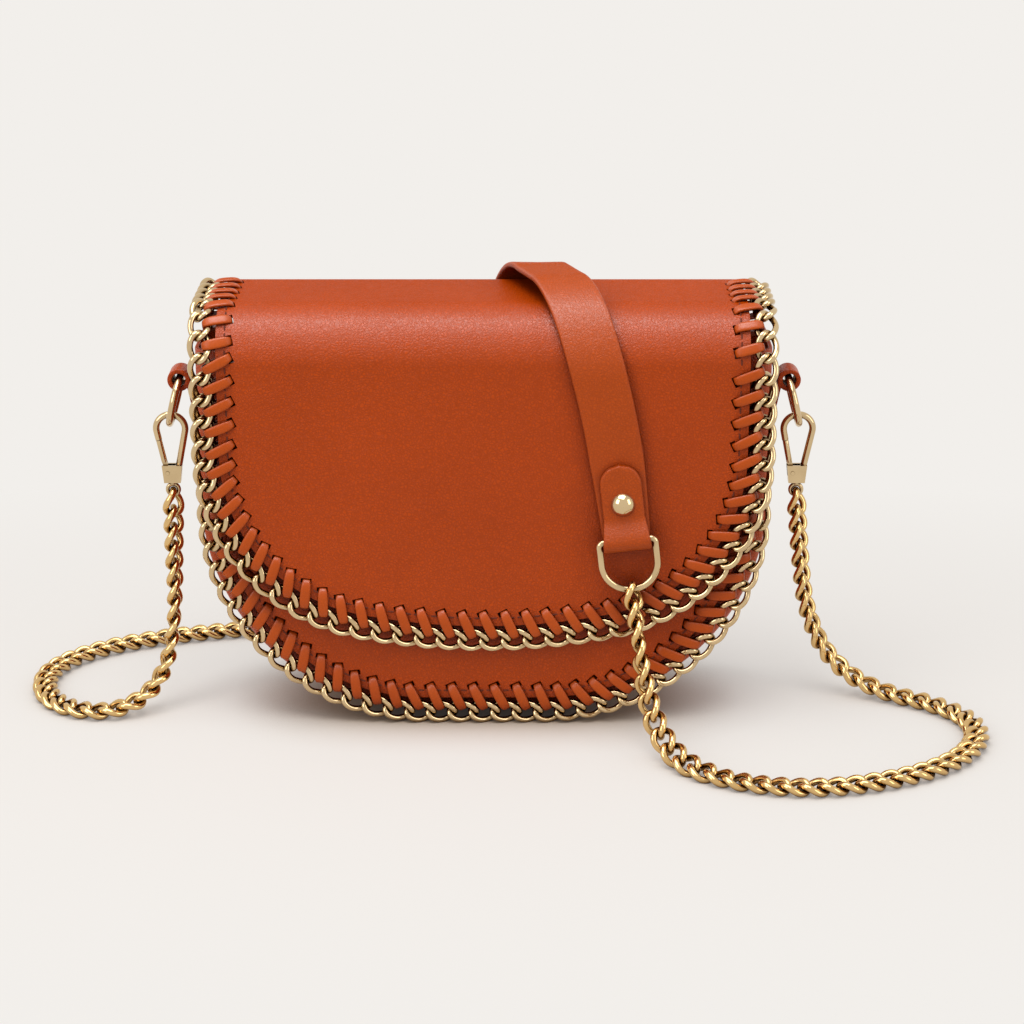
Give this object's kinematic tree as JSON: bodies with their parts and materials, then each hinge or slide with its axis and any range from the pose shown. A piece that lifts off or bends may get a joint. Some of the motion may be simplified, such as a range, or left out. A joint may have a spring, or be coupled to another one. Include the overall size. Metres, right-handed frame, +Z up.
{
  "type": "shoulder bag",
  "caption": "Half-moon leather shoulder bag with a hinged flap, laced curb-chain trim, side rings with snap hooks, and a leather strap on chains.",
  "frame": {"origin": "under the middle of the bag, on the surface that it stands on", "axes": "+X to the viewer's right of the front, +Y towards the back, +Z up"},
  "size_m": [0.3768, 0.1706, 0.175],
  "materials": {
    "body_leather": "fine-grained cognac leather",
    "lace_leather": "smooth flat leather lace",
    "lining_cloth": "tan cotton lining",
    "gold_metal": "polished pale gold plate",
    "closure_metal": "plain plated magnet caps"
  },
  "bodies": {
    "bag": {"front_panel": "body_leather", "back_panel": "body_leather", "gusset": "body_leather", "lining": "lining_cloth", "front_trim_chain": "gold_metal", "back_trim_chain": "gold_metal", "front_lacing": "lace_leather", "back_lacing": "lace_leather", "left_tab": "body_leather", "right_tab": "body_leather", "lower_magnet": "closure_metal", "magnet_washer": "closure_metal", "left_swivel_eye": "gold_metal", "right_swivel_eye": "gold_metal", "left_chain": "gold_metal", "shoulder_strap": "body_leather", "rear_strap_ring": "gold_metal", "rear_rivet": "gold_metal"},
    "flap": {"flap": "body_leather", "flap_lining": "lining_cloth", "flap_trim_chain": "gold_metal", "flap_lacing": "lace_leather", "upper_magnet": "closure_metal", "front_strap_ring": "gold_metal", "front_rivet": "gold_metal", "right_chain_1": "gold_metal"},
    "left_ring": {"left_ring": "gold_metal"},
    "left_hook": {"left_hook": "gold_metal", "left_gate_pin": "gold_metal"},
    "left_gate": {"left_gate": "gold_metal"},
    "right_ring": {"right_ring": "gold_metal"},
    "right_hook": {"right_hook": "gold_metal", "right_gate_pin": "gold_metal"},
    "right_gate": {"right_gate": "gold_metal"},
    "chain_span_2": {"right_chain_2": "gold_metal"},
    "chain_span_3": {"right_chain_3": "gold_metal"},
    "chain_span_4": {"right_chain_4": "gold_metal"},
    "chain_span_5": {"right_chain_5": "gold_metal"},
    "chain_span_6": {"right_chain_6": "gold_metal"},
    "chain_span_7": {"right_chain_7": "gold_metal"}
  },
  "joints": [
    {"name": "flap_hinge", "type": "hinge", "parent": "bag", "child": "flap", "pos_m": [0, 0.03125, 0.1499], "axis": [-1, 0, 0], "range_deg": [0, 105], "deforming": ["shoulder_strap", "left_chain", "right_chain_1", "right_chain_2", "right_chain_3", "right_chain_4", "right_chain_5", "right_chain_6", "right_chain_7", "front_strap_ring", "front_rivet"]},
    {"name": "chain_link_2", "type": "hinge", "parent": "flap", "child": "chain_span_2", "pos_m": [0.05864, -0.04304, 0.04073], "axis": [0.8857, 0.1747, 0.4301], "range_deg": [0, 121.2]},
    {"name": "chain_link_3", "type": "hinge", "parent": "chain_span_2", "child": "chain_span_3", "pos_m": [0.0787, -0.07525, 0.00332], "axis": [-0.1979, -0.5424, -0.8165], "range_deg": [0, 22]},
    {"name": "chain_link_4", "type": "hinge", "parent": "chain_span_3", "child": "chain_span_4", "pos_m": [0.13214, -0.08987, 0.0027], "axis": [-0.8694, -0.4701, -0.1521], "range_deg": [0, 44]},
    {"name": "chain_link_5", "type": "hinge", "parent": "chain_span_4", "child": "chain_span_5", "pos_m": [0.18112, -0.06186, 0.0027], "axis": [-0.8797, -0.4233, -0.2166], "range_deg": [0, 43.5]},
    {"name": "chain_link_6", "type": "hinge", "parent": "chain_span_5", "child": "chain_span_6", "pos_m": [0.17367, -0.01182, 0.00275], "axis": [-0.4656, 0.0387, -0.8841], "range_deg": [0, 24.7]},
    {"name": "chain_link_7", "type": "hinge", "parent": "chain_span_6", "child": "chain_span_7", "pos_m": [0.13076, 0.00451, 0.02824], "axis": [0.1619, 0.9835, 0.0809], "range_deg": [0, 46.8]},
    {"name": "left_ring_swing", "type": "hinge", "parent": "bag", "child": "left_ring", "pos_m": [-0.117, 0.00315, 0.132], "axis": [0, 1, 0], "range_deg": [-3, 1.5]},
    {"name": "left_hook_swivel", "type": "hinge", "parent": "bag", "child": "left_hook", "pos_m": [-0.12155, 0.00315, 0.09661], "axis": [0, 0, 1], "range_deg": [-25, 25]},
    {"name": "left_gate_hinge", "type": "hinge", "parent": "left_hook", "child": "left_gate", "pos_m": [-0.12325, 0.00315, 0.09371], "axis": [0, 1, 0], "range_deg": [0, 22], "stiffness_Nm_per_rad": 0.01, "springref_deg": -17.19},
    {"name": "right_ring_swing", "type": "hinge", "parent": "bag", "child": "right_ring", "pos_m": [0.117, 0.00315, 0.132], "axis": [0, -1, 0], "range_deg": [-3, 1.5]},
    {"name": "right_hook_swivel", "type": "hinge", "parent": "bag", "child": "right_hook", "pos_m": [0.12155, 0.00315, 0.09661], "axis": [0, 0, 1], "range_deg": [-25, 25]},
    {"name": "right_gate_hinge", "type": "hinge", "parent": "right_hook", "child": "right_gate", "pos_m": [0.11985, 0.00315, 0.09371], "axis": [0, 1, 0], "range_deg": [0, 22], "stiffness_Nm_per_rad": 0.01, "springref_deg": -17.19}
  ],
  "couplings": [
    {"joint": "chain_link_2", "follows": "flap_hinge", "ratio": 1.1538},
    {"joint": "chain_link_3", "follows": "flap_hinge", "ratio": 0.20913},
    {"joint": "chain_link_4", "follows": "flap_hinge", "ratio": 0.41813},
    {"joint": "chain_link_5", "follows": "flap_hinge", "ratio": 0.41404},
    {"joint": "chain_link_6", "follows": "flap_hinge", "ratio": 0.23477},
    {"joint": "chain_link_7", "follows": "flap_hinge", "ratio": 0.44495}
  ]
}
